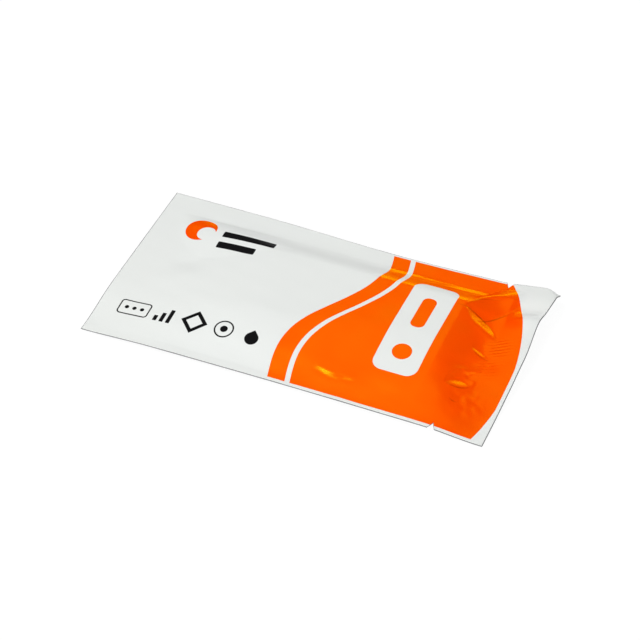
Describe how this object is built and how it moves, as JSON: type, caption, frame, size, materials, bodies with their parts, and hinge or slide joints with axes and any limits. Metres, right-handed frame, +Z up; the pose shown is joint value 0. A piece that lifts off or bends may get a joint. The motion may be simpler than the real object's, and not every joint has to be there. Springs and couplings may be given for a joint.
{
  "type": "sealed foil pouch",
  "caption": "Flat rectangular foil pouch, heat-sealed on all sides around a lateral flow test cassette, with a tear notch in each long edge, a cushioned middle and a curled tear end.",
  "frame": {"origin": "on the table, under the middle of the pouch's outline", "axes": "+X along the length towards the tear end, +Y across the width, +Z up out of the printed face"},
  "size_m": [0.132, 0.07, 0.0067],
  "materials": {
    "printed_film": "glossy white outer film, with an orange printed field at the tear end"
  },
  "bodies": {
    "root": {"foil_pouch": "printed_film"}
  },
  "joints": []
}
